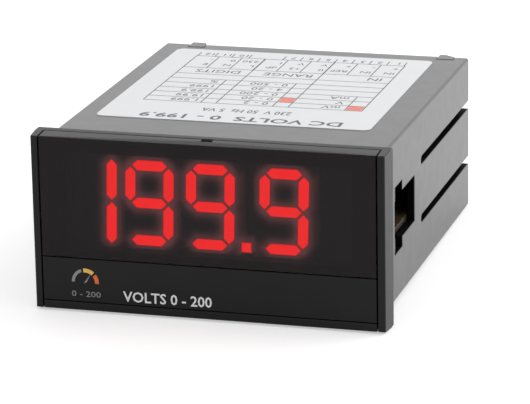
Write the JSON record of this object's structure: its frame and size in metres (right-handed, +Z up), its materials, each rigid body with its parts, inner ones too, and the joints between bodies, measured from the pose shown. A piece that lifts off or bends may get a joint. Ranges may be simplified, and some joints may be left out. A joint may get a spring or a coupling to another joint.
{
  "type": "digital panel meter",
  "caption": "Digital panel meter: lit red numeric display behind a pull-off front, slotted case, pull-off screw terminal plug at the rear.",
  "frame": {"origin": "centre of the bezel's rear face, which seats on the panel", "axes": "+Y out of the bezel's rear face along the case, +Z up, +X to the right seen from the front; the front faces -Y"},
  "size_m": [0.096, 0.1179, 0.048],
  "materials": {
    "case_plastic": "fine satin texture, near-black moulded plastic",
    "bezel_plastic": "smooth satin black plastic",
    "window_filter": "tinted see-through red filter, polished",
    "legend_black": "satin black plate with a pale printed unit",
    "display_grey": "dark face of a display module",
    "segment_lit": "lit red diffuser",
    "segment_dark": "unlit diffuser",
    "board_green": "green solder mask over glass fibre",
    "board_brown": "lacquered brown board",
    "trimmer_blue": "blue moulded trimmer body",
    "rotor_white": "pale rotor",
    "socket_black": "black thermoplastic",
    "chip_epoxy": "moulded epoxy",
    "tinned_metal": "bright tinned metal",
    "gold_pins": "gilded pins",
    "core_steel": "lacquered laminations",
    "bobbin_ivory": "moulded nylon",
    "winding_tape": "yellow polyester tape over the winding",
    "capacitor_sleeve": "dark blue shrink sleeve",
    "film_yellow": "yellow box capacitor",
    "resistor_tan": "lacquered resistor",
    "terminal_green": "green polyamide",
    "label_white": "white label with ruled boxes"
  },
  "bodies": {
    "case": {"housing": "case_plastic", "rear_cover": "case_plastic", "front_frame": "bezel_plastic", "display_board": "board_green", "half_digit": "display_grey", "left_digit": "display_grey", "middle_digit": "display_grey", "right_digit": "display_grey", "point_lamp": "display_grey", "lit_segments": "segment_lit", "dark_segments": "segment_dark", "zero_trimmer_body": "trimmer_blue", "span_trimmer_body": "trimmer_blue", "main_board": "board_brown", "link_strip": "socket_black", "link_pins": "gold_pins", "chip_socket": "socket_black", "converter_chip": "chip_epoxy", "chip_leads": "tinned_metal", "transformer_core": "core_steel", "transformer_bobbin": "bobbin_ivory", "transformer_winding": "winding_tape", "filter_capacitors": "capacitor_sleeve", "film_capacitors": "film_yellow", "resistors": "resistor_tan", "rectifier": "chip_epoxy", "regulator_body": "chip_epoxy", "regulator_tab": "tinned_metal", "terminal_header": "terminal_green", "header_pins": "tinned_metal", "solder_joints": "tinned_metal", "rating_label": "label_white"},
    "front_cover": {"insert_carrier": "bezel_plastic", "display_window": "window_filter", "legend_plate": "legend_black"},
    "connector_plug": {"terminal_plug": "terminal_green", "terminal_clamps": "tinned_metal", "terminal_screws": "tinned_metal"},
    "zero_rotor": {"zero_trimmer_rotor": "rotor_white"},
    "span_rotor": {"span_trimmer_rotor": "rotor_white"}
  },
  "joints": [
    {"name": "front_cover_pull", "type": "slide", "parent": "case", "child": "front_cover", "axis": [0, -1, 0], "range_m": [0, 0.01]},
    {"name": "connector_plug_pull", "type": "slide", "parent": "case", "child": "connector_plug", "axis": [0, 1, 0], "range_m": [0, 0.01]},
    {"name": "zero_trimmer_turn", "type": "hinge", "parent": "case", "child": "zero_rotor", "pos_m": [0.012, 0, -0.01185], "axis": [0, 1, 0], "range_deg": [-130, 130]},
    {"name": "span_trimmer_turn", "type": "hinge", "parent": "case", "child": "span_rotor", "pos_m": [0.024, 0, -0.01185], "axis": [0, 1, 0], "range_deg": [-130, 130]}
  ]
}
